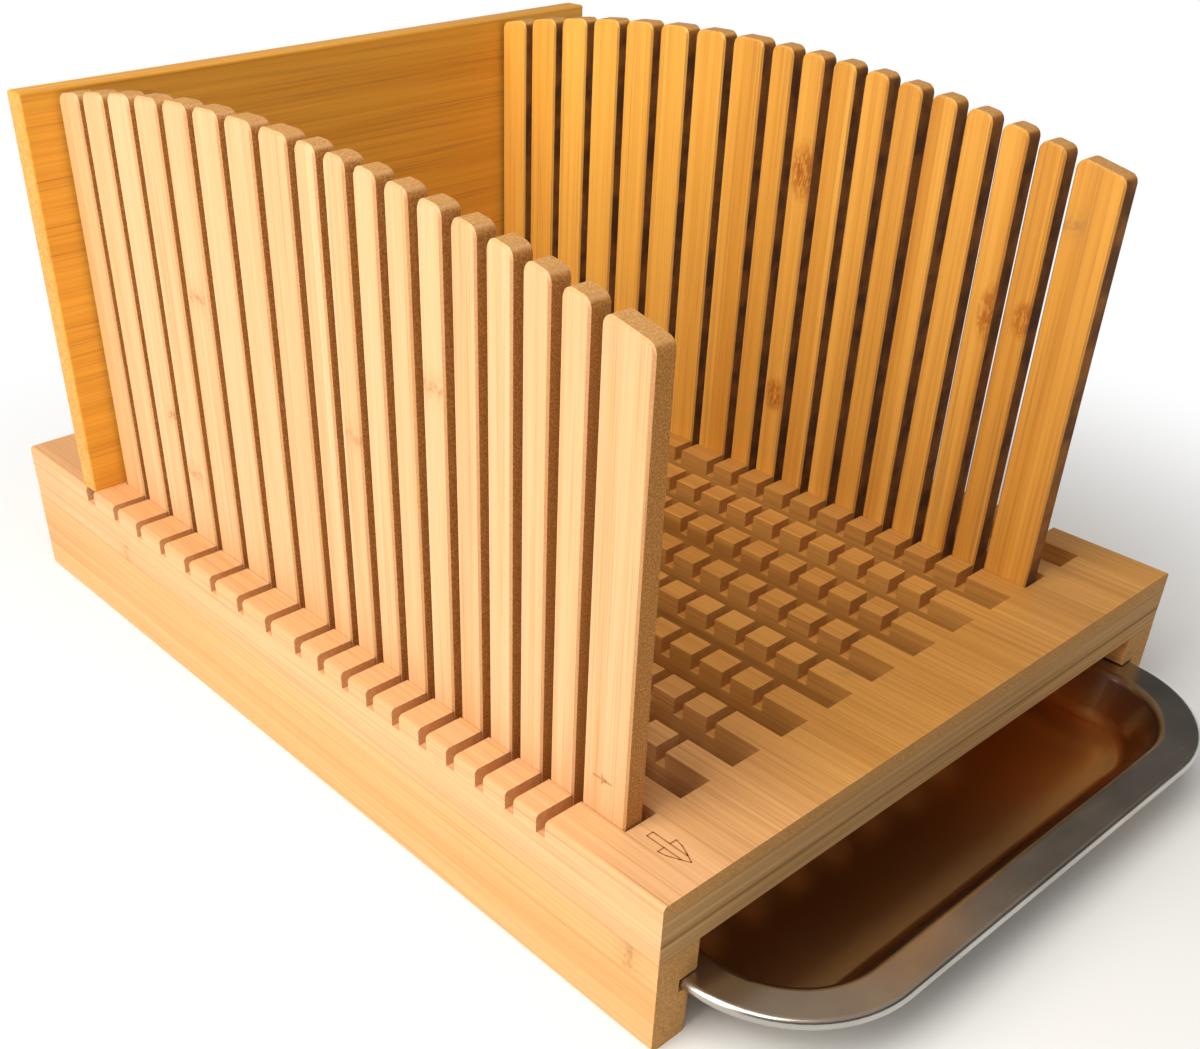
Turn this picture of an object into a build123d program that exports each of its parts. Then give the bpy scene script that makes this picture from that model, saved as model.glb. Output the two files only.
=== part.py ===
from build123d import *
import math
import os

# Bread slicer of laminated bamboo, in millimetres, +Z up.
# X runs across the slicer (left to right), Y from the front edge to the back.
# The origin is on the table, in the middle of the box that holds the whole
# slicer with its crumb tray pulled out by TRAY_PULLED.

# Base: two glued boards on two side rails, closed at the back by a rear rail.
BASE_WIDTH = 186.0
BASE_LENGTH = 260.5
BASE_HEIGHT = 40.0
DECK_THICKNESS = 10.4         # upper board, slotted and grooved
UNDER_THICKNESS = 5.0         # lower board, carries the feet of the guides
DECK_EDGE_ROUND = 1.1         # along the two long top edges

# Knife pitches: narrow slices at the front, wide slices at the back.
NARROW_PITCH = 9.525
NARROW_COUNT = 9
WIDE_PITCH = 12.7
WIDE_COUNT = 8
KNIFE_GAP = 2.7
KNIFE_GROOVE_DEPTH = 4.4

# Long slots in the deck: the crumbs fall through them, and the guides stand in
# three of them (one at the left, two places at the right).
SLOT_COUNT = 11
SLOT_PITCH = 15.75
SLOT_WIDTH = 8.9
SLOT_FRONT = 19.8             # from the front edge of the base
LEFT_GUIDE_SLOT = 0
RIGHT_GUIDE_SLOT = 9
WIDE_LOAF_SLOT = 10
GUIDE_SLOTS = (LEFT_GUIDE_SLOT, RIGHT_GUIDE_SLOT, WIDE_LOAF_SLOT)

# Guides: comb panels with an arched top.
GUIDE_THICKNESS = 5.3
POST_WIDTH = 12.1
GUIDE_END_PLAY = 0.5          # between a guide and the front end of its slot
GUIDE_SIDE_PLAY = 0.15
GUIDE_TOP = 111.8             # top of the arch above the deck
GUIDE_ARCH_RADIUS = 475.0
GUIDE_ARCH_CENTRE = 131.2     # the arch is highest here, from the front edge of the base
SLAT_CORNER = 2.2
SLAT_EDGE_ROUND = 0.45
FOOT_GAP = 0.2                # under the foot of a guide or of the back board
FOOT_TOP = -4.9               # top of the foot strip, below the knife grooves

# Back board.
BACK_FRONT = 220.8            # its front face, from the front edge of the base
BACK_THICKNESS = 6.7
BACK_INSET = 0.5              # at each end
BACK_HEIGHT = 104.5           # above the deck
BACK_EDGE_ROUND = 0.7
TONGUE_THICKNESS = 4.0
TONGUE_DEPTH = 4.2
TONGUE_SET_BACK = 0.4         # of the tongue from the board's front face
TONGUE_INSET = 12.0           # the tongue stops short of the deck's sides
TENON_WIDTH = 30.0
TENON_OFFSET = 55.0           # of the two tenons from the middle
WOOD_PLAY = 0.2

# Side rails and rear rail.
RAIL_HEIGHT = BASE_HEIGHT - DECK_THICKNESS - UNDER_THICKNESS
RAIL_WIDTH = 11.6
RAIL_GROOVE_TOP = 16.5        # above the table
RAIL_GROOVE_HEIGHT = 3.6
RAIL_GROOVE_DEPTH = 5.0
RAIL_OUTER_ROUND = 1.6
LIP_ROUND = 3.0
LIP_LEAD_IN = 3.0
REAR_RAIL_THICKNESS = 11.0

# Glue dowels between the boards and the rails.
DOWEL_DIAMETER = 4.0
DOWEL_LENGTH = 16.0
DOWEL_TOP = BASE_HEIGHT - 7.4
SIDE_DOWEL_INSET = 4.0
SIDE_DOWEL_YS = (26.0, 96.0, 166.0, 236.0)
REAR_DOWEL_XS = (-56.0, 0.0, 56.0)

# Crumb tray of pressed steel.
TRAY_WIDTH = 172.0
TRAY_LENGTH = 246.0
TRAY_CORNER = 32.0
TRAY_SHEET = 0.7
TRAY_FLANGE = 9.6
BASIN_DEPTH = 12.5
BASIN_TAPER = 24.0            # of the basin's walls, degrees
BASIN_FLOOR_ROUND = 4.0
FLOOR_INSET = 20.0            # of the basin's flat floor from the tray's outer side
BASIN_MOUTH_ROUND = 1.6
RIM_BEAD = 2.8                # diameter of the rolled rim
TRAY_CLOSED_INSET = 2.0       # the closed tray stands this far inside the front
TRAY_PULLED = 34.0            # out of the closed place

FRONT = -(BASE_LENGTH + TRAY_PULLED - TRAY_CLOSED_INSET) / 2 + TRAY_PULLED - TRAY_CLOSED_INSET
DECK_TOP = BASE_HEIGHT
UNDER_TOP = DECK_TOP - DECK_THICKNESS
RAIL_TOP = UNDER_TOP - UNDER_THICKNESS
GUIDE_LENGTH = POST_WIDTH + NARROW_COUNT * NARROW_PITCH + WIDE_COUNT * WIDE_PITCH
GUIDE_FRONT = SLOT_FRONT + GUIDE_END_PLAY
SLOT_LENGTH = GUIDE_LENGTH + 2 * GUIDE_END_PLAY


def block(x0, x1, y0, y1, z0, z1):
    """A box between two corners; y is measured from the front edge of the base."""
    size = Box(x1 - x0, y1 - y0, z1 - z0)
    return Pos((x0 + x1) / 2, FRONT + (y0 + y1) / 2, (z0 + z1) / 2) * size


def slot_left(index):
    """X of the left side of a long slot."""
    margin = (BASE_WIDTH - (SLOT_COUNT - 1) * SLOT_PITCH - SLOT_WIDTH) / 2
    return -BASE_WIDTH / 2 + margin + index * SLOT_PITCH


def knife_gap_starts():
    """Front side of each knife gap, from the front edge of the base."""
    first = GUIDE_FRONT + POST_WIDTH
    narrow = [first + i * NARROW_PITCH for i in range(NARROW_COUNT)]
    wide_from = first + NARROW_COUNT * NARROW_PITCH
    return narrow + [wide_from + i * WIDE_PITCH for i in range(WIDE_COUNT)]


def cross_groove(start, width):
    """A cutter for a groove right across the deck."""
    reach = BASE_WIDTH / 2 + 1
    return block(-reach, reach, start, start + width, DECK_TOP - KNIFE_GROOVE_DEPTH, DECK_TOP + 1)


def long_slot(index, bottom, top):
    """A cutter for a long slot between two heights."""
    x0 = slot_left(index)
    return block(x0, x0 + SLOT_WIDTH, SLOT_FRONT, SLOT_FRONT + SLOT_LENGTH, bottom, top)


def dowels(places):
    """Upright dowels at the given (x, y) places."""
    one = Cylinder(DOWEL_DIAMETER / 2, DOWEL_LENGTH)
    return [Pos(x, FRONT + y, DOWEL_TOP - DOWEL_LENGTH / 2) * one for x, y in places]


def side_dowel_places(side):
    x = side * (BASE_WIDTH / 2 - SIDE_DOWEL_INSET)
    return [(x, y) for y in SIDE_DOWEL_YS]


def rear_dowel_places():
    return [(x, BASE_LENGTH - REAR_RAIL_THICKNESS / 2) for x in REAR_DOWEL_XS]


def all_dowels():
    return dowels(side_dowel_places(-1)) + dowels(side_dowel_places(1)) + dowels(rear_dowel_places())


def tenon_blocks(play, floor):
    """The two tenons of the back board, or with play their mortises."""
    y0 = BACK_FRONT + TONGUE_SET_BACK - play
    y1 = BACK_FRONT + TONGUE_SET_BACK + TONGUE_THICKNESS + play
    half = TENON_WIDTH / 2 + play
    top = DECK_TOP - TONGUE_DEPTH + 1
    return [block(x - half, x + half, y0, y1, floor, top) for x in (-TENON_OFFSET, TENON_OFFSET)]


def deck_board():
    """Upper board: long slots right through it, knife grooves across it."""
    outline = Rectangle(BASE_WIDTH, DECK_THICKNESS)
    top_corners = outline.vertices().sort_by(Axis.Y)[-2:]
    outline = fillet(top_corners, DECK_EDGE_ROUND)
    slab = extrude(outline, amount=BASE_LENGTH / 2, both=True)
    slab = Rotation(90, 0, 0) * slab
    slab = Pos(0, FRONT + BASE_LENGTH / 2, DECK_TOP - DECK_THICKNESS / 2) * slab
    cutters = [long_slot(i, UNDER_TOP - 1, DECK_TOP + 1) for i in range(SLOT_COUNT)]
    cutters += [cross_groove(y, KNIFE_GAP) for y in knife_gap_starts()]
    cutters.append(cross_groove(BACK_FRONT + TONGUE_SET_BACK - WOOD_PLAY, TONGUE_THICKNESS + 2 * WOOD_PLAY))
    cutters += tenon_blocks(WOOD_PLAY, UNDER_TOP - 1)
    return slab - cutters - all_dowels()


def under_board():
    """Lower board: only the crumb slots go through it."""
    slab = block(-BASE_WIDTH / 2, BASE_WIDTH / 2, 0, BASE_LENGTH, RAIL_TOP, UNDER_TOP)
    crumb_slots = [i for i in range(SLOT_COUNT) if i not in GUIDE_SLOTS]
    cutters = [long_slot(i, RAIL_TOP - 1, UNDER_TOP + 1) for i in crumb_slots]
    return slab - cutters - all_dowels()


def side_rail(side):
    """Side rail with the groove that the tray's rim slides in; side is -1 left, 1 right."""
    half = BASE_WIDTH / 2
    rail = block(-half, -half + RAIL_WIDTH, 0, BASE_LENGTH, 0, RAIL_TOP)
    inner_bottom = rail.edges().filter_by(Axis.Y).group_by(Axis.Z)[0].sort_by(Axis.X)
    rail = fillet(inner_bottom[-1], LIP_ROUND)
    outer_bottom = rail.edges().filter_by(Axis.Y).group_by(Axis.Z)[0].sort_by(Axis.X)[0]
    rail = fillet(outer_bottom, RAIL_OUTER_ROUND)
    inner = -half + RAIL_WIDTH
    groove_bottom = RAIL_GROOVE_TOP - RAIL_GROOVE_HEIGHT
    groove = block(inner - RAIL_GROOVE_DEPTH, inner + 1, -1, BASE_LENGTH + 1, groove_bottom, RAIL_GROOVE_TOP)
    lead_in = block(inner - LIP_LEAD_IN, inner + 1, -1, LIP_LEAD_IN, -1, groove_bottom)
    round_end = Pos(inner - LIP_LEAD_IN, FRONT + LIP_LEAD_IN, (groove_bottom - 1) / 2)
    lead_in = lead_in - round_end * Cylinder(LIP_LEAD_IN, groove_bottom + 3)
    rail = rail - groove - lead_in - dowels(side_dowel_places(-1))
    return rail if side < 0 else mirror(rail, about=Plane.YZ)


def rear_rail():
    """Rail across the back, where the closed tray stops."""
    inner = BASE_WIDTH / 2 - RAIL_WIDTH
    y0 = BASE_LENGTH - REAR_RAIL_THICKNESS
    rail = block(-inner, inner, y0, BASE_LENGTH, 0, RAIL_TOP)
    return rail - dowels(rear_dowel_places())


def arch_height(y):
    """Height of the arched top above the deck at a y from the front edge of the base."""
    off = y - GUIDE_ARCH_CENTRE
    return GUIDE_TOP - GUIDE_ARCH_RADIUS + math.sqrt(GUIDE_ARCH_RADIUS ** 2 - off ** 2)


def comb_outline():
    """Face of a guide in the plane of y (as X) and height above the deck (as Y)."""
    foot = -DECK_THICKNESS + FOOT_GAP
    y0 = GUIDE_FRONT
    y1 = GUIDE_FRONT + GUIDE_LENGTH
    top = ThreePointArc((y0, arch_height(y0)), (GUIDE_ARCH_CENTRE, GUIDE_TOP), (y1, arch_height(y1)))
    sides = Polyline((y1, arch_height(y1)), (y1, foot), (y0, foot), (y0, arch_height(y0)))
    face = make_face([top, sides])
    for start in knife_gap_starts():
        gap = Rectangle(KNIFE_GAP, GUIDE_TOP + 20, align=(Align.MIN, Align.MIN))
        face -= Pos(start, -KNIFE_GROOVE_DEPTH - 0.2) * gap
    corners = [v for v in face.vertices() if v.Y > 50]
    return fillet(corners, SLAT_CORNER)


def guide_comb(slot):
    """Comb panel that stands against the left side of its slot."""
    face = comb_outline()
    panel = extrude(face, amount=GUIDE_THICKNESS)
    face_edges = panel.edges().filter_by_position(Axis.Z, 0, 0)
    face_edges += panel.edges().filter_by_position(Axis.Z, GUIDE_THICKNESS, GUIDE_THICKNESS)
    panel = chamfer(face_edges, SLAT_EDGE_ROUND)
    upright = Rotation(0, 0, 90) * (Rotation(90, 0, 0) * panel)
    return Pos(slot_left(slot) + GUIDE_SIDE_PLAY, FRONT, DECK_TOP) * upright


def guide_foot(slot):
    """Strip glued along the foot of a guide, so that the foot fills the slot."""
    x0 = slot_left(slot) + GUIDE_SIDE_PLAY + GUIDE_THICKNESS
    x1 = slot_left(slot) + SLOT_WIDTH - GUIDE_SIDE_PLAY
    bottom = UNDER_TOP + FOOT_GAP
    return block(x0, x1, GUIDE_FRONT, GUIDE_FRONT + GUIDE_LENGTH, bottom, DECK_TOP + FOOT_TOP)


def back_board():
    """Board across the back, with a tongue and two tenons in the deck."""
    half = BASE_WIDTH / 2 - BACK_INSET
    back = BACK_FRONT + BACK_THICKNESS
    board = block(-half, half, BACK_FRONT, back, DECK_TOP + 0.1, DECK_TOP + BACK_HEIGHT)
    visible = board.edges().filter_by(lambda e: e.center().Z > DECK_TOP + 1)
    board = fillet(visible, BACK_EDGE_ROUND)
    y0 = BACK_FRONT + TONGUE_SET_BACK
    reach = BASE_WIDTH / 2 - TONGUE_INSET
    tongue = block(-reach, reach, y0, y0 + TONGUE_THICKNESS, DECK_TOP - TONGUE_DEPTH, DECK_TOP + 1)
    board = board + tongue
    for tenon in tenon_blocks(0, UNDER_TOP + FOOT_GAP):
        board = board + tenon
    return board


def tray_section():
    """Section of the tray's edge: X is the distance in from its outer side, Y the height."""
    bead = RIM_BEAD / 2
    sheet = TRAY_SHEET
    lean = math.tan(math.radians(BASIN_TAPER))
    mitre = sheet * math.tan(math.radians((90 - BASIN_TAPER) / 2))
    foot = TRAY_FLANGE + (BASIN_DEPTH - sheet) * lean
    top_mouth = (TRAY_FLANGE, 0)
    low_mouth = (TRAY_FLANGE - mitre, -sheet)
    top_foot = (foot, sheet - BASIN_DEPTH)
    low_foot = (foot - mitre, -BASIN_DEPTH)
    upper = [(bead, 0), top_mouth, top_foot, (FLOOR_INSET, sheet - BASIN_DEPTH)]
    lower = [(FLOOR_INSET, -BASIN_DEPTH), low_foot, low_mouth, (bead, -sheet)]
    face = make_face(Polyline(*upper, *lower, close=True))
    rounds = {
        top_mouth: BASIN_MOUTH_ROUND + sheet,
        low_mouth: BASIN_MOUTH_ROUND,
        top_foot: BASIN_FLOOR_ROUND,
        low_foot: BASIN_FLOOR_ROUND + sheet,
    }
    for point, radius in rounds.items():
        corner = face.vertices().sort_by_distance((*point, 0))[0]
        face = fillet(corner, radius)
    return face + Pos(bead, -bead) * Circle(bead)


def crumb_tray():
    """Pressed tray: flange with a rolled rim round a shallow basin."""
    section = tray_section()
    half_width = TRAY_WIDTH / 2
    half_length = TRAY_LENGTH / 2
    upright = Rotation(90, 0, 0)
    side = upright * extrude(section, amount=half_length - TRAY_CORNER, both=True)
    side = Pos(-half_width, 0, 0) * side
    end = upright * extrude(section, amount=half_width - TRAY_CORNER, both=True)
    end = Pos(0, -half_length, 0) * (Rotation(0, 0, 90) * end)
    corner = upright * revolve(section, Axis((TRAY_CORNER, 0, 0), (0, 1, 0)), 90)
    corner = Pos(-half_width, TRAY_CORNER - half_length, 0) * corner
    front_corners = [corner, mirror(corner, about=Plane.YZ)]
    rear_corners = [mirror(piece, about=Plane.XZ) for piece in front_corners]
    size = (TRAY_WIDTH - 2 * FLOOR_INSET, TRAY_LENGTH - 2 * FLOOR_INSET)
    floor = extrude(RectangleRounded(*size, TRAY_CORNER - FLOOR_INSET), amount=TRAY_SHEET)
    floor = Pos(0, 0, -BASIN_DEPTH) * floor
    runs = [side, mirror(side, about=Plane.YZ), end, mirror(end, about=Plane.XZ)]
    tray = floor
    for piece in runs + front_corners + rear_corners:
        tray = tray + piece
    top = RAIL_GROOVE_TOP - (RAIL_GROOVE_HEIGHT - RIM_BEAD) / 2
    front = TRAY_CLOSED_INSET - TRAY_PULLED
    return Pos(0, FRONT + front + half_length, top) * tray


PARTS = {
    "deck_board": deck_board,
    "under_board": under_board,
    "left_side_rail": lambda: side_rail(-1),
    "right_side_rail": lambda: side_rail(1),
    "rear_rail": rear_rail,
    "left_rail_dowels": lambda: Compound(children=dowels(side_dowel_places(-1))),
    "right_rail_dowels": lambda: Compound(children=dowels(side_dowel_places(1))),
    "rear_rail_dowels": lambda: Compound(children=dowels(rear_dowel_places())),
    "crumb_tray": crumb_tray,
    "left_guide_comb": lambda: guide_comb(LEFT_GUIDE_SLOT),
    "left_guide_foot": lambda: guide_foot(LEFT_GUIDE_SLOT),
    "right_guide_comb": lambda: guide_comb(RIGHT_GUIDE_SLOT),
    "right_guide_foot": lambda: guide_foot(RIGHT_GUIDE_SLOT),
    "back_board": back_board,
}

os.makedirs("parts", exist_ok=True)
for name, make in PARTS.items():
    export_step(make(), f"parts/{name}.step")
print("OK")
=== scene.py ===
import math

import bmesh
import bpy
from mathutils import Matrix, Vector


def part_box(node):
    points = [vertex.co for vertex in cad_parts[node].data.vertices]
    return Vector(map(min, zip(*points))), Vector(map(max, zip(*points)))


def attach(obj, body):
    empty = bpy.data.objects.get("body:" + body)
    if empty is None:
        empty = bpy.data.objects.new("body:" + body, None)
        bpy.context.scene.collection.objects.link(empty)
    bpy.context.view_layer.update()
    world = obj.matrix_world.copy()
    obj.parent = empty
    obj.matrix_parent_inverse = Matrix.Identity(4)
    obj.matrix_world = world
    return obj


# Bread slicer of laminated bamboo with a steel crumb tray. Lengths are in metres,
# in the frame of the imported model: X to the right, Y to the back, Z up, table at 0.

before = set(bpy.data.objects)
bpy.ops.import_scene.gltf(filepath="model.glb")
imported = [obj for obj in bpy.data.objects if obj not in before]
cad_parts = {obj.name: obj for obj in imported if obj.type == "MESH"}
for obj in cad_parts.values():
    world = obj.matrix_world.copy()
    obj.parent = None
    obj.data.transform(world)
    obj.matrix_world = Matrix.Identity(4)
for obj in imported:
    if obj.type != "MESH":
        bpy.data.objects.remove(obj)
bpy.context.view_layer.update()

MM = 0.001
IMAGE_WIDTH = 1200
IMAGE_HEIGHT = 1049

# ---------------------------------------------------------------- places

DECK_LOW, DECK_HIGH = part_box("deck_board")
LEFT_LOW, LEFT_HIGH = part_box("left_guide_comb")
BACK_LOW, BACK_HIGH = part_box("back_board")
TRAY_LOW, TRAY_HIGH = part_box("crumb_tray")
DECK_TOP = DECK_HIGH.z


# ---------------------------------------------------------------- shader helpers

class Shader:
    """A material's node tree, with short calls for the nodes that it needs."""

    def __init__(self, name):
        self.material = bpy.data.materials.new(name)
        self.material.use_nodes = True
        self.tree = self.material.node_tree
        self.surface = self.tree.nodes["Principled BSDF"]
        self.coordinates = self.node("ShaderNodeTexCoord").outputs["Object"]
        self.normal = self.node("ShaderNodeNewGeometry").outputs["Normal"]

    def node(self, kind, **settings):
        made = self.tree.nodes.new(kind)
        for key, value in settings.items():
            setattr(made, key, value)
        return made

    def put(self, socket, value):
        if isinstance(value, bpy.types.NodeSocket):
            self.tree.links.new(value, socket)
        elif value is not None:
            socket.default_value = value

    def math(self, operation, a, b=None, c=None, clamp=False):
        made = self.node("ShaderNodeMath", operation=operation, use_clamp=clamp)
        for socket, value in zip(made.inputs, (a, b, c)):
            self.put(socket, value)
        return made.outputs[0]

    def axes(self, vector):
        made = self.node("ShaderNodeSeparateXYZ")
        self.put(made.inputs[0], vector)
        return {"X": made.outputs[0], "Y": made.outputs[1], "Z": made.outputs[2]}

    def point(self, x, y, z):
        made = self.node("ShaderNodeCombineXYZ")
        for socket, value in zip(made.inputs, (x, y, z)):
            self.put(socket, value)
        return made.outputs[0]

    def noise(self, vector, scale=1.0, detail=3.0, roughness=0.55, distortion=0.0):
        made = self.node("ShaderNodeTexNoise")
        self.put(made.inputs["Vector"], vector)
        made.inputs["Scale"].default_value = scale
        made.inputs["Detail"].default_value = detail
        made.inputs["Roughness"].default_value = roughness
        made.inputs["Distortion"].default_value = distortion
        return made.outputs[0]

    def random(self, a, b=0.0):
        made = self.node("ShaderNodeTexWhiteNoise", noise_dimensions="2D")
        self.put(made.inputs["Vector"], self.point(a, b, 0.0))
        return made.outputs["Value"]

    def remap(self, value, low, high, to_low=0.0, to_high=1.0, smooth=False):
        made = self.node("ShaderNodeMapRange", interpolation_type="SMOOTHSTEP" if smooth else "LINEAR")
        for socket, amount in zip(made.inputs, (value, low, high, to_low, to_high)):
            self.put(socket, amount)
        return made.outputs[0]

    def mix(self, share, first, second, blend="MIX"):
        made = self.node("ShaderNodeMix", data_type="RGBA", blend_type=blend)
        self.put(made.inputs[0], share)
        self.put(made.inputs[6], self.tone(first))
        self.put(made.inputs[7], self.tone(second))
        return made.outputs[2]

    @staticmethod
    def tone(value):
        return (*value, 1.0) if isinstance(value, tuple) and len(value) == 3 else value

    def bump(self, height, painted_far_light_share, strength=1.0):
        made = self.node("ShaderNodeBump")
        made.inputs["Strength"].default_value = strength
        made.inputs["Distance"].default_value = painted_far_light_share
        self.put(made.inputs["Height"], height)
        return made.outputs[0]


# ---------------------------------------------------------------- bamboo

class Bamboo(Shader):
    """Laminated bamboo: strips side by side, long fibres, knuckles, speckled cut faces.

    along and across are the axes of the grain and of the row of strips; strip is a strip's width.
    """

    def __init__(self, name, along, across, strip, seed):
        super().__init__(name)
        self.place = self.axes(self.coordinates)
        self.facing = self.axes(self.normal)
        self.along = along
        third = ({"X", "Y", "Z"} - {along, across}).pop()
        self.u = self.place[along]
        self.v = self.place[across]
        self.w = self.place[third]
        self.seed = seed
        wander = self.noise(self.point(self.u, 0.0, seed), scale=9.0, detail=1.0)
        shifted = self.math("MULTIPLY_ADD", wander, 0.0006, self.v)
        self.strip_number = self.math("FLOOR", self.math("MULTIPLY_ADD", shifted, 1.0 / strip, seed))
        self.luck = self.random(self.strip_number, seed)
        self.other_luck = self.random(self.strip_number, seed + 31.7)
        self.offset = self.math("MULTIPLY", self.luck, 7.0)
        self.broad = self.fibres(4.0, 160.0, 3.0)
        self.fine = self.fibres(9.0, 700.0, 3.0)
        self.hair = self.fibres(16.0, 1900.0, 2.0)

    def fibres(self, along_scale, cross_scale, detail):
        """Noise that is stretched along the grain and differs from strip to strip."""
        grain = self.point(
            self.math("MULTIPLY_ADD", self.u, along_scale, self.offset),
            self.math("MULTIPLY", self.v, cross_scale),
            self.math("MULTIPLY", self.w, cross_scale),
        )
        return self.noise(grain, detail=detail, roughness=0.6)

    def board(self, light, dark, line_tone, strip_contrast, grain_contrast):
        """Colour of the planed faces."""
        shade = self.math("MULTIPLY_ADD", self.luck, strip_contrast, 0.42 - strip_contrast / 2)
        for grain, share in ((self.broad, 1.2), (self.fine, 1.1), (self.hair, 0.6)):
            centred = self.math("SUBTRACT", grain, 0.5)
            shade = self.math("MULTIPLY_ADD", centred, share * grain_contrast, shade)
        shade = self.math("ADD", shade, 0.0, clamp=True)
        colour = self.mix(shade, light, dark)
        lines = self.remap(self.hair, 0.55, 0.68)
        lines = self.math("MULTIPLY", lines, self.remap(self.broad, 0.3, 0.7, 0.15, 0.6))
        return self.mix(self.math("MULTIPLY", lines, grain_contrast), colour, line_tone)

    def knuckles(self, colour, tone, spacing):
        """Joints of the cane: a thin line across a strip with a mottled halo."""
        at = self.math("MULTIPLY_ADD", self.u, 1.0 / spacing, self.math("MULTIPLY", self.other_luck, 9.0))
        ripple = self.noise(self.point(self.v, self.w, self.seed), scale=420.0)
        at = self.math("MULTIPLY_ADD", ripple, 0.004 / spacing, at)
        away = self.math("ABSOLUTE", self.math("SUBTRACT", self.math("FRACT", at), 0.5))
        away = self.math("MULTIPLY", away, spacing)
        halo = self.remap(away, 0.0, 0.006, 0.30, 0.0, smooth=True)
        line = self.remap(away, 0.0005, 0.0015, 0.40, 0.0, smooth=True)
        mottle = self.noise(self.coordinates, scale=900.0, detail=2.0)
        mark = self.math("MULTIPLY", self.math("ADD", halo, line), self.remap(mottle, 0.3, 0.7, 0.2, 1.3))
        return self.mix(mark, colour, tone)

    def scar(self, colour, tone, v, u, half_v, half_u):
        """One large knuckle scar around a place: dark flecks that spread along the grain."""
        from_v = self.math("DIVIDE", self.math("SUBTRACT", self.v, v), half_v)
        from_u = self.math("DIVIDE", self.math("SUBTRACT", self.u, u), half_u)
        squared = self.math(
            "ADD", self.math("MULTIPLY", from_v, from_v), self.math("MULTIPLY", from_u, from_u))
        reach = self.remap(squared, 0.0, 1.0, 1.0, 0.0, smooth=True)
        spread = self.point(
            self.math("MULTIPLY", self.u, 330.0), self.math("MULTIPLY", self.v, 900.0), self.seed)
        flecks = self.noise(spread, distortion=1.2)
        mark = self.math("MULTIPLY", reach, self.remap(flecks, 0.42, 0.54, 0.3, 1.0))
        return self.mix(mark, colour, tone)

    def speckled(self, low, high, scale, blotch=None):
        """Sawn face: pale dots on brown."""
        grit = self.noise(self.coordinates, scale=scale, detail=2.0, roughness=0.75)
        colour = self.mix(self.remap(grit, 0.38, 0.66), low, high)
        if blotch:
            patches = self.noise(self.coordinates, scale=130.0, detail=2.0)
            colour = self.mix(self.remap(patches, 0.40, 0.62, 0.0, 0.85), colour, blotch)
        return colour, grit

    def faces_along(self, axis):
        return self.remap(self.math("ABSOLUTE", self.facing[axis]), 0.6, 0.9)

    def finish(self, colour, gloss, grit, rough_share):
        """Sets the colour, the sheen of the varnish and a slight relief."""
        self.put(self.surface.inputs["Base Color"], colour)
        satin = self.remap(self.fine, 0.3, 0.7, gloss, gloss + 0.16)
        self.put(self.surface.inputs["Roughness"], self.math("MULTIPLY_ADD", rough_share, 0.4, satin))
        self.surface.inputs["Specular IOR Level"].default_value = 0.35
        relief = self.math("MULTIPLY_ADD", self.hair, 0.5, self.fine)
        relief = self.math("MULTIPLY_ADD", grit, self.math("MULTIPLY", rough_share, 1.2), relief)
        self.put(self.surface.inputs["Normal"], self.bump(relief, 0.00007, 0.6))
        return self.material


LINE_TONE = (0.42, 0.20, 0.06)
SEAM_TONE = (0.20, 0.09, 0.03)
# Painted light: cream is the bamboo as it looks in strong light, given to the left guide and to the lit
# left side of the deck.
PAINTED_LIT_CREAM = (0.82, 0.47, 0.245)
PAINTED_LIT_CREAM_DARK = (0.66, 0.33, 0.13)
# Painted shade: amber is the same bamboo as it looks in the warm shade inside the slicer, given to the
# right guide.
PAINTED_SHADE_AMBER = (0.78, 0.38, 0.065)
PAINTED_SHADE_AMBER_DARK = (0.54, 0.21, 0.022)
# Painted light: the right guide's slats are painted lighter towards the back.
PAINTED_LIGHT_FAR_AMBER = (0.95, 0.50, 0.085)
PAINTED_LIGHT_FAR_AMBER_DARK = (0.80, 0.36, 0.045)
TAN = (0.68, 0.335, 0.08)
TAN_DARK = (0.46, 0.19, 0.032)
RAIL = (0.80, 0.42, 0.17)
RAIL_DARK = (0.64, 0.30, 0.085)
BACK = (0.86, 0.43, 0.055)
BACK_DARK = (0.64, 0.27, 0.02)
CUT_BROWN = (0.37, 0.135, 0.022)
CUT_PALE = (0.60, 0.29, 0.075)
# Burn marks on the sawn faces plus painted shade: the right guide's narrow slits are painted darker than
# the left guide's cut faces.
BURN_AND_SHADE_BROWN = (0.26, 0.10, 0.020)
BURN_AND_SHADE_DARK = (0.10, 0.036, 0.010)
END_TAN = (0.44, 0.21, 0.056)
END_PALE = (0.63, 0.34, 0.115)
BACK_END_PALE = (0.80, 0.46, 0.18)
LAYER_BROWN = (0.40, 0.22, 0.08)
LAYER_PALE = (0.58, 0.35, 0.15)
SCAR_BROWN = (0.40, 0.12, 0.012)
KNOT_BROWN = (0.40, 0.16, 0.03)

PAINTED_LIT_SIDE = (-0.092, -0.02)       # painted light: the boards are painted paler towards the lit left side
DECK_MIDDLE = (DECK_LOW.y + DECK_HIGH.y) / 2
DECK_HALF = (DECK_HIGH.y - DECK_LOW.y) / 2
END_BAND = 0.0036                 # sawn top band of the boards' front ends


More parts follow.
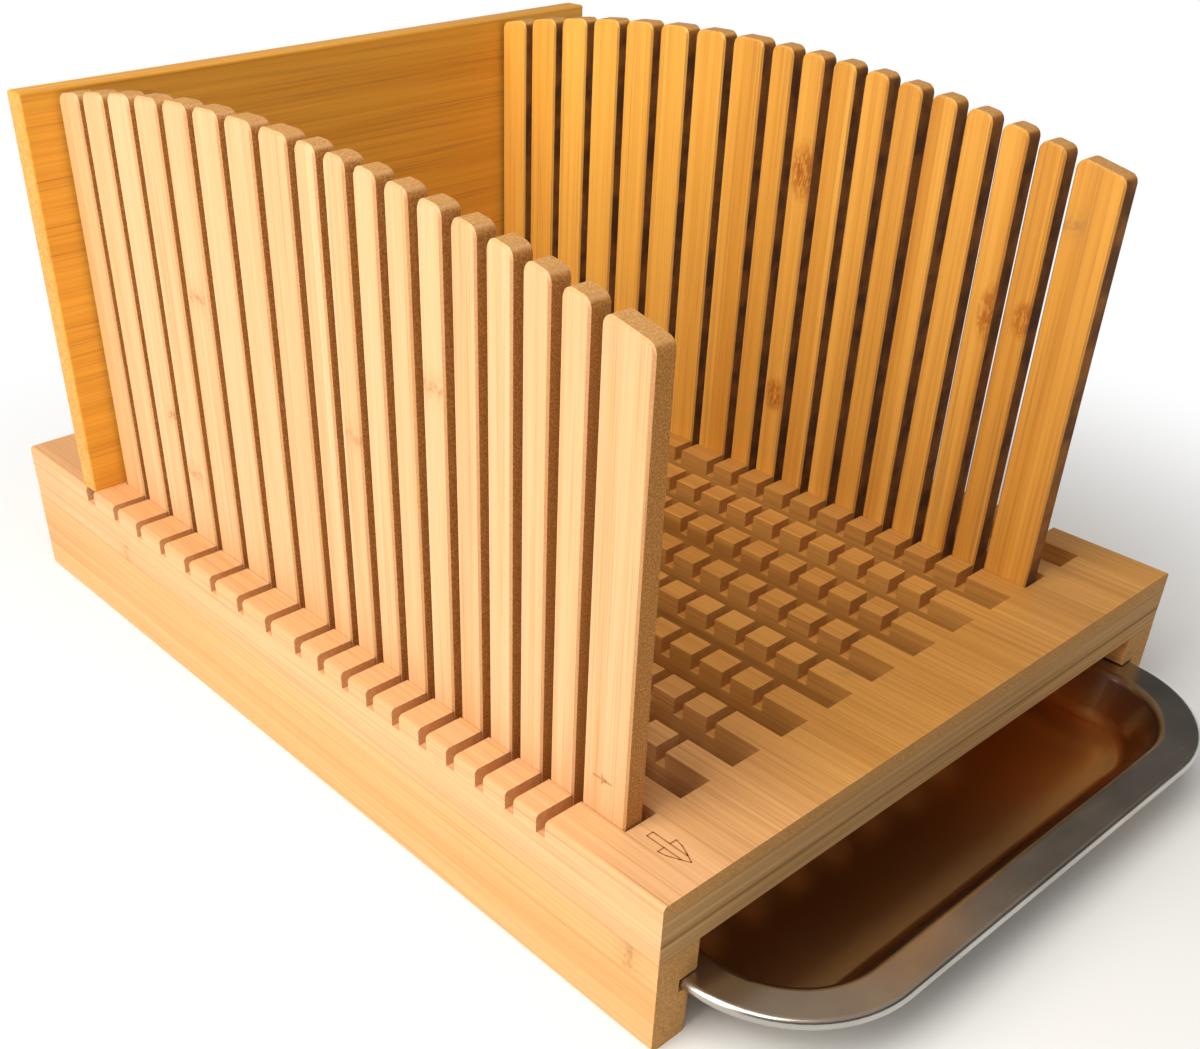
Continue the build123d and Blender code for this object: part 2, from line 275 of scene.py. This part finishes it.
def board_bamboo(name, top, seed):
    """Deck boards: grain to the back, painted light that makes them paler at the left, banded ends."""
    wood = Bamboo(name, "Y", "X", 0.0075, seed)
    # Painted light: the left boards blend towards the lit cream.
    painted_lit_side_share = wood.remap(wood.place["X"], *PAINTED_LIT_SIDE, 0.8, 0.0, smooth=True)
    light = wood.mix(painted_lit_side_share, TAN, PAINTED_LIT_CREAM)
    dark = wood.mix(painted_lit_side_share, TAN_DARK, PAINTED_LIT_CREAM_DARK)
    colour = wood.board(light, dark, LINE_TONE, 0.30, 1.25)
    colour = wood.knuckles(colour, LINE_TONE, 0.9)
    end, grit = wood.speckled(END_TAN, END_PALE, 2300.0)
    layers = wood.noise(wood.point(
        wood.math("MULTIPLY", wood.place["X"], 12.0), 0.0,
        wood.math("MULTIPLY", wood.place["Z"], 900.0)), detail=3.0)
    layered = wood.mix(wood.remap(layers, 0.35, 0.65), LAYER_BROWN, LAYER_PALE)
    below = wood.remap(wood.place["Z"], top - END_BAND - 0.0003, top - END_BAND + 0.0003, 0.85, 0.0)
    end = wood.mix(below, end, layered)
    from_seam = wood.math("ABSOLUTE", wood.math("SUBTRACT", wood.place["Z"], DECK_LOW.z))
    end = wood.mix(wood.remap(from_seam, 0.0003, 0.0006, 0.6, 0.0), end, SEAM_TONE)
    from_middle = wood.math("ABSOLUTE", wood.math("SUBTRACT", wood.place["Y"], DECK_MIDDLE))
    outside = wood.remap(from_middle, DECK_HALF - 0.002, DECK_HALF - 0.001)
    end_share = wood.math("MULTIPLY", wood.faces_along("Y"), wood.math("MULTIPLY_ADD", outside, 0.75, 0.25))
    colour = wood.mix(end_share, colour, end)
    return wood.finish(colour, 0.42, grit, end_share)


def rail_bamboo():
    """Side rails: warmer, grain to the back."""
    wood = Bamboo("rail_bamboo", "Y", "Z", 0.009, 5.0)
    colour = wood.board(RAIL, RAIL_DARK, LINE_TONE, 0.35, 0.9)
    colour = wood.knuckles(colour, LINE_TONE, 0.8)
    end, grit = wood.speckled(END_TAN, END_PALE, 2200.0)
    end_share = wood.faces_along("Y")
    colour = wood.mix(end_share, colour, end)
    return wood.finish(colour, 0.42, grit, end_share)


def guide_bamboo(name, seed, tones, cut, knuckle_spacing, scars=(), far_painted_light_tones=None):
    """Comb guides: upright grain, sawn slits that are brown and speckled; far tones, where given, are
    painted light that makes the back slats lighter.
    """
    wood = Bamboo(name, "Z", "Y", 0.0067, seed)
    light, dark, contrast = tones
    # Painted light: the tones blend towards the far ones along the guide, lighter at the back.
    if far_painted_light_tones:
        painted_far_light_share = wood.remap(wood.place["Y"], LEFT_LOW.y + 0.05, LEFT_HIGH.y - 0.03)
        light = wood.mix(painted_far_light_share, light, far_painted_light_tones[0])
        dark = wood.mix(painted_far_light_share, dark, far_painted_light_tones[1])
    colour = wood.board(light, dark, LINE_TONE, 0.45 * contrast, contrast)
    colour = wood.knuckles(colour, LINE_TONE, knuckle_spacing)
    for place in scars:
        colour = wood.scar(colour, SCAR_BROWN, *place)
    low, high, blotch = cut
    side, grit = wood.speckled(low, high, 2300.0, blotch)
    colour = wood.mix(wood.faces_along("Y"), colour, side)
    end, end_grit = wood.speckled(END_TAN, END_PALE, 2300.0)
    colour = wood.mix(wood.faces_along("Z"), colour, end)
    sawn = wood.math("MAXIMUM", wood.faces_along("Y"), wood.faces_along("Z"))
    return wood.finish(colour, 0.40, grit, sawn)


def back_bamboo():
    """Back board: wide strips with level grain."""
    wood = Bamboo("back_bamboo", "X", "Z", 0.021, 4.0)
    colour = wood.board(BACK, BACK_DARK, LINE_TONE, 0.40, 1.0)
    colour = wood.knuckles(colour, LINE_TONE, 0.6)
    knot = (BACK_HIGH.z - 8.0 * MM, BACK_LOW.x + 33.0 * MM, 5.0 * MM, 7.0 * MM)
    colour = wood.scar(colour, KNOT_BROWN, *knot)
    end, grit = wood.speckled(END_TAN, BACK_END_PALE, 1400.0)
    end_share = wood.faces_along("X")
    colour = wood.mix(wood.math("MULTIPLY", end_share, 0.6), colour, end)
    return wood.finish(colour, 0.40, grit, end_share)


def dowel_bamboo():
    """Turned dowels: plain pale wood."""
    wood = Bamboo("dowel_bamboo", "Z", "X", 0.004, 6.0)
    colour = wood.board(TAN, TAN_DARK, LINE_TONE, 0.3, 0.8)
    end, grit = wood.speckled(END_TAN, END_PALE, 2300.0)
    end_share = wood.faces_along("Z")
    return wood.finish(wood.mix(end_share, colour, end), 0.5, grit, end_share)


def right_guide_scars():
    """Knuckle scars of the right guide: y, z, half width, half height of each."""
    from_front = ((36.0, 64.0, 4.5, 5.5), (45.0, 63.0, 4.5, 8.5),
                  (104.0, 84.0, 5.0, 9.0), (105.0, 24.0, 4.0, 6.0))
    return [(DECK_LOW.y + y * MM, DECK_TOP + z * MM, half_y * MM, half_z * MM)
            for y, z, half_y, half_z in from_front]


MATERIALS = {
    "deck_board": board_bamboo("deck_bamboo", DECK_TOP, 3.0),
    "under_board": board_bamboo("under_bamboo", DECK_TOP, 8.0),
    "left_side_rail": rail_bamboo(),
    # The left guide wears the painted light of the cream tones.
    "left_guide_comb": guide_bamboo("left_guide_bamboo", 1.0, (PAINTED_LIT_CREAM, PAINTED_LIT_CREAM_DARK, 0.9),
                                    (CUT_BROWN, CUT_PALE, None), 0.55),
    # The right guide wears painted shade (amber), painted light on its back slats, and burn marks plus
    # painted shade in its slits.
    "right_guide_comb": guide_bamboo("right_guide_bamboo", 2.0, (PAINTED_SHADE_AMBER, PAINTED_SHADE_AMBER_DARK, 1.1),
                                     (BURN_AND_SHADE_BROWN, CUT_BROWN, BURN_AND_SHADE_DARK), 0.6, right_guide_scars(),
                                     (PAINTED_LIGHT_FAR_AMBER, PAINTED_LIGHT_FAR_AMBER_DARK)),
    "back_board": back_bamboo(),
    "left_rail_dowels": dowel_bamboo(),
}
SAME_AS = {
    "right_side_rail": "left_side_rail",
    "rear_rail": "under_board",
    "left_guide_foot": "left_guide_comb",
    "right_guide_foot": "right_guide_comb",
    "right_rail_dowels": "left_rail_dowels",
    "rear_rail_dowels": "left_rail_dowels",
}


# ---------------------------------------------------------------- steel

# Heights between which the basin's painted reflection and painted shade fade out.
BASIN_SHADE_LOW = TRAY_LOW.z + 0.004
BASIN_SHADE_HIGH = TRAY_HIGH.z - 0.001


def steel():
    """Satin stainless sheet with fine rubbing marks, and in the basin a painted warm reflection of the
    bamboo with painted shade at the left.
    """
    shader = Shader("tray_steel")
    place = shader.axes(shader.coordinates)
    strokes = shader.point(
        shader.math("MULTIPLY", place["X"], 60.0), shader.math("MULTIPLY", place["Y"], 2600.0), place["Z"])
    brush = shader.noise(strokes, detail=3.0)
    cloud = shader.noise(shader.coordinates, scale=38.0, detail=4.0, roughness=0.6)
    wear = shader.noise(shader.coordinates, scale=900.0, detail=2.0)
    colour = shader.mix(shader.remap(cloud, 0.3, 0.7), (0.38, 0.36, 0.33), (0.53, 0.51, 0.47))
    # Painted reflection and painted shade: the basin gets a warm bamboo reflection, dark at the left under
    # the deck and brighter at the right.
    painted_reflection_share = shader.remap(place["Z"], BASIN_SHADE_LOW, BASIN_SHADE_HIGH, 1.0, 0.0)
    painted_reflection_to_right = shader.remap(place["X"], 0.0, 0.07, 0.0, 1.0, smooth=True)
    painted_bamboo_reflection = shader.mix(painted_reflection_to_right, (0.42, 0.31, 0.19), (0.90, 0.58, 0.26))
    colour = shader.mix(painted_reflection_share, colour, painted_bamboo_reflection)
    shader.put(shader.surface.inputs["Base Color"], colour)
    shader.surface.inputs["Metallic"].default_value = 1.0
    rough = shader.math("MULTIPLY_ADD", brush, 0.10, 0.15)
    rough = shader.math("MULTIPLY_ADD", cloud, 0.08, rough)
    shader.put(shader.surface.inputs["Roughness"], rough)
    height = shader.math("ADD", brush, shader.math("MULTIPLY", wear, 0.3))
    shader.put(shader.surface.inputs["Normal"], shader.bump(height, 0.00001, 0.5))
    return shader.material


MATERIALS["crumb_tray"] = steel()


def dress(node, material):
    """Gives a node its finish."""
    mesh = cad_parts[node].data
    mesh.materials.clear()
    mesh.materials.append(material)


for node_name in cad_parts:
    dress(node_name, MATERIALS[SAME_AS.get(node_name, node_name)])

SOFT_EDGES = {"deck_board": 0.00035, "under_board": 0.00025, "left_side_rail": 0.0003,
              "right_side_rail": 0.0003, "rear_rail": 0.0003}
for node_name, width in SOFT_EDGES.items():
    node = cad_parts[node_name]
    weld = node.modifiers.new("weld", "WELD")
    weld.merge_threshold = 1e-6
    bevel = node.modifiers.new("soft_edges", "BEVEL")
    bevel.width = width
    bevel.segments = 2
    bevel.limit_method = "ANGLE"
    bevel.angle_limit = math.radians(40)


# ---------------------------------------------------------------- arrow marks

def burnt_wood(name, dark, pale):
    """Brown that a hot tip leaves on wood: uneven in tone, matt."""
    shader = Shader(name)
    uneven = shader.noise(shader.coordinates, scale=1400.0, detail=3.0)
    colour = shader.mix(shader.remap(uneven, 0.3, 0.7), dark, pale)
    shader.put(shader.surface.inputs["Base Color"], colour)
    shader.put(shader.surface.inputs["Roughness"], shader.remap(uneven, 0.3, 0.7, 0.6, 0.75))
    shader.put(shader.surface.inputs["Normal"], shader.bump(uneven, 0.00003, 0.5))
    return shader.material


MARK_PROUD = 0.012 * MM
MARK_DEPTH = 0.08 * MM


def flat_piece(name, outlines, place, material):
    """Thin flat shapes as one piece; place turns (a, b, out) into a point."""
    shape = bmesh.new()
    for outline in outlines:
        top = [shape.verts.new(place(a, b, MARK_PROUD)) for a, b in outline]
        bottom = [shape.verts.new(place(a, b, -MARK_DEPTH)) for a, b in outline]
        shape.faces.new(top)
        shape.faces.new(reversed(bottom))
        for i in range(len(outline)):
            after = (i + 1) % len(outline)
            shape.faces.new((top[i], bottom[i], bottom[after], top[after]))
    bmesh.ops.recalc_face_normals(shape, faces=shape.faces)
    mesh = bpy.data.meshes.new(name)
    shape.to_mesh(mesh)
    shape.free()
    mesh.materials.append(material)
    piece = bpy.data.objects.new(name, mesh)
    bpy.context.scene.collection.objects.link(piece)
    return piece


def stroke(start, end, width):
    """Outline of one straight stroke with pointed ends."""
    start = Vector(start)
    end = Vector(end)
    along = (end - start).normalized()
    side = Vector((-along.y, along.x)) * width / 2
    tip = along * width / 2
    corners = (start - tip, start - side, end - side, end + tip, end + side, start + side)
    return [tuple(point) for point in corners]


def deck_arrow():
    """Outlined arrow on the deck: the way the left guide faces."""
    middle = DECK_LOW.x + 13.1 * MM
    tail = DECK_LOW.y + 16.3 * MM
    neck = DECK_LOW.y + 11.7 * MM
    tip = DECK_LOW.y + 5.3 * MM
    shaft = 0.85 * MM
    wing = 2.6 * MM
    paths = [[(middle - shaft, tail), (middle + shaft, tail)]]
    for side in (-1.0, 1.0):
        edge = middle + side * shaft
        outer = middle + side * wing
        paths.append([(edge, tail), (edge, tip + 1.8 * MM)])
        paths.append([(edge, neck), (outer, neck), (middle + side * 0.85 * wing, neck - 1.9 * MM),
                      (middle + side * 0.45 * wing, tip + 2.2 * MM), (middle, tip)])
    outlines = [stroke(start, end, 0.36 * MM) for path in paths for start, end in zip(path, path[1:])]
    material = burnt_wood("deck_arrow_burn", (0.28, 0.10, 0.025), (0.46, 0.19, 0.055))
    place = lambda a, b, out: Vector((a, b, DECK_TOP + out))
    piece = flat_piece("deck_arrow_mark", outlines, place, material)
    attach(piece, "base")


def guide_arrow():
    """Small arrow burnt into the foot of the left guide's post: this end to the front."""
    height = DECK_TOP + 8.9 * MM
    tail = LEFT_LOW.y + 9.2 * MM
    neck = LEFT_LOW.y + 6.9 * MM
    tip = LEFT_LOW.y + 3.7 * MM
    wing = 1.6 * MM
    shaft = 0.28 * MM
    barb = neck - 0.5 * MM
    outline = [(tip, height), (barb, height + shaft * 2), (neck, height + wing), (neck, height + shaft),
               (tail, height + shaft), (tail, height - shaft), (neck, height - shaft),
               (neck, height - wing), (barb, height - shaft * 2)]
    material = burnt_wood("guide_arrow_burn", (0.32, 0.12, 0.025), (0.60, 0.28, 0.085))
    place = lambda a, b, out: Vector((LEFT_LOW.x - out, a, b))
    piece = flat_piece("left_guide_arrow_mark", [outline], place, material)
    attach(piece, "left_guide")


deck_arrow()
guide_arrow()


# ---------------------------------------------------------------- floor, lights, camera

FLOOR_RADIUS = 6.0
FADE_START = 0.15                 # from here the floor turns into plain white
FADE_END = 0.31


def studio():
    """A pale floor that fades into a white background, and the world around it."""
    mesh = bpy.data.meshes.new("floor")
    shape = bmesh.new()
    bmesh.ops.create_circle(shape, cap_ends=True, segments=96, radius=FLOOR_RADIUS)
    shape.to_mesh(mesh)
    shape.free()
    floor = bpy.data.objects.new("floor", mesh)
    bpy.context.scene.collection.objects.link(floor)
    shader = Shader("floor_white")
    shader.surface.inputs["Base Color"].default_value = (0.9, 0.9, 0.89, 1.0)
    shader.surface.inputs["Roughness"].default_value = 0.8
    shader.surface.inputs["Specular IOR Level"].default_value = 0.1
    place = shader.axes(shader.coordinates)
    reach = shader.math("SQRT", shader.math(
        "ADD", shader.math("POWER", place["X"], 2.0), shader.math("POWER", place["Y"], 2.0)))
    far = shader.remap(reach, FADE_START, FADE_END, 0.0, 1.0, smooth=True)
    ray = shader.node("ShaderNodeLightPath")
    seen = shader.math("MAXIMUM", ray.outputs["Is Camera Ray"], ray.outputs["Is Glossy Ray"])
    seen = shader.math("MAXIMUM", seen, ray.outputs["Is Transmission Ray"])
    glow = shader.node("ShaderNodeEmission")
    glow.inputs["Strength"].default_value = 1.0
    blend = shader.node("ShaderNodeMixShader")
    shader.put(blend.inputs[0], shader.math("MULTIPLY", far, seen))
    shader.put(blend.inputs[1], shader.surface.outputs[0])
    shader.put(blend.inputs[2], glow.outputs[0])
    shader.put(shader.tree.nodes["Material Output"].inputs["Surface"], blend.outputs[0])
    mesh.materials.append(shader.material)

    bpy.context.scene.world = studio_world()


ROOM_LIGHT = 0.34                 # world strength for the light on the object
# What polished metal sees at each height: white at the horizon, a dark wall, a warm ceiling.
ROOM_HEIGHTS = ((0.20, (1.0, 1.0, 1.0)), (0.34, (0.06, 0.055, 0.05)), (0.60, (0.06, 0.055, 0.05)),
                (0.74, (0.50, 0.40, 0.31)))


def studio_world():
    """White for the camera, even for the object's light, and a room for metal to mirror."""
    world = bpy.data.worlds.new("studio")
    world.use_nodes = True
    tree = world.node_tree
    ray = tree.nodes.new("ShaderNodeLightPath")
    direction = tree.nodes.new("ShaderNodeTexCoord")
    height = tree.nodes.new("ShaderNodeSeparateXYZ")
    room = tree.nodes.new("ShaderNodeValToRGB")
    stops = room.color_ramp.elements
    while len(stops) < len(ROOM_HEIGHTS):
        stops.new(0.5)
    for stop, (position, tone) in zip(stops, ROOM_HEIGHTS):
        stop.position = position
        stop.color = (*tone, 1.0)
    for_metal = tree.nodes.new("ShaderNodeMix")
    for_metal.data_type = "RGBA"
    for_metal.inputs[6].default_value = (ROOM_LIGHT, ROOM_LIGHT, ROOM_LIGHT, 1.0)
    for_camera = tree.nodes.new("ShaderNodeMix")
    for_camera.data_type = "RGBA"
    for_camera.inputs[7].default_value = (1.0, 1.0, 1.0, 1.0)
    link = tree.links.new
    link(direction.outputs["Generated"], height.inputs[0])
    link(height.outputs["Z"], room.inputs[0])
    link(ray.outputs["Is Glossy Ray"], for_metal.inputs[0])
    link(room.outputs[0], for_metal.inputs[7])
    through = tree.nodes.new("ShaderNodeMath")
    through.operation = "MAXIMUM"
    link(ray.outputs["Is Camera Ray"], through.inputs[0])
    link(ray.outputs["Is Transmission Ray"], through.inputs[1])
    link(through.outputs[0], for_camera.inputs[0])
    link(for_metal.outputs[2], for_camera.inputs[6])
    link(for_camera.outputs[2], tree.nodes["Background"].inputs["Color"])
    tree.nodes["Background"].inputs["Strength"].default_value = 1.0
    return world


def lamp(name, place, target, size, power, colour=(1.0, 1.0, 1.0)):
    data = bpy.data.lights.new(name, "AREA")
    data.size = size
    data.energy = power
    data.color = colour
    light = bpy.data.objects.new(name, data)
    light.location = place
    light.rotation_euler = (Vector(target) - Vector(place)).to_track_quat("-Z", "Y").to_euler()
    bpy.context.scene.collection.objects.link(light)


CAMERA_AT = (-0.23585, -0.23433, 0.21864)
CAMERA_AZIMUTH = -41.115
CAMERA_ELEVATION = 35.913
CAMERA_ROLL = 0.011
FOCAL_PIXELS = 1383.9
CENTRE_PIXEL = (508.0, 710.0)     # where the lens axis meets the 1200 x 1049 photograph
SENSOR_WIDTH = 36.0


def photo_camera():
    """The camera of the photograph."""
    azimuth = math.radians(CAMERA_AZIMUTH)
    elevation = math.radians(CAMERA_ELEVATION)
    roll = math.radians(CAMERA_ROLL)
    level = math.cos(elevation)
    ahead = Vector((-math.sin(azimuth) * level, math.cos(azimuth) * level, -math.sin(elevation)))
    right = Vector((math.cos(azimuth), math.sin(azimuth), 0.0))
    up = right.cross(ahead)
    tilted_right = right * math.cos(roll) + up * math.sin(roll)
    tilted_up = up * math.cos(roll) - right * math.sin(roll)
    data = bpy.data.cameras.new("photo_camera")
    data.sensor_width = SENSOR_WIDTH
    data.lens = FOCAL_PIXELS * SENSOR_WIDTH / IMAGE_WIDTH
    data.shift_x = (IMAGE_WIDTH / 2 - CENTRE_PIXEL[0]) / IMAGE_WIDTH
    data.shift_y = (CENTRE_PIXEL[1] - IMAGE_HEIGHT / 2) / IMAGE_WIDTH
    data.clip_start = 0.01
    data.clip_end = 50.0
    camera = bpy.data.objects.new("photo_camera", data)
    turn = Matrix((tilted_right, tilted_up, -ahead)).transposed()
    camera.matrix_world = Matrix.Translation(CAMERA_AT) @ turn.to_4x4()
    bpy.context.scene.collection.objects.link(camera)
    bpy.context.scene.camera = camera


studio()
lamp("key", (-0.62, 0.05, 0.42), (0.0, 0.0, 0.07), 0.5, 4.1, (1.0, 0.96, 0.89))
lamp("top", (-0.36, -0.12, 0.72), (0.0, 0.0, 0.05), 0.5, 3.3, (1.0, 0.96, 0.90))
photo_camera()

bpy.context.scene.view_settings.view_transform = "Standard"
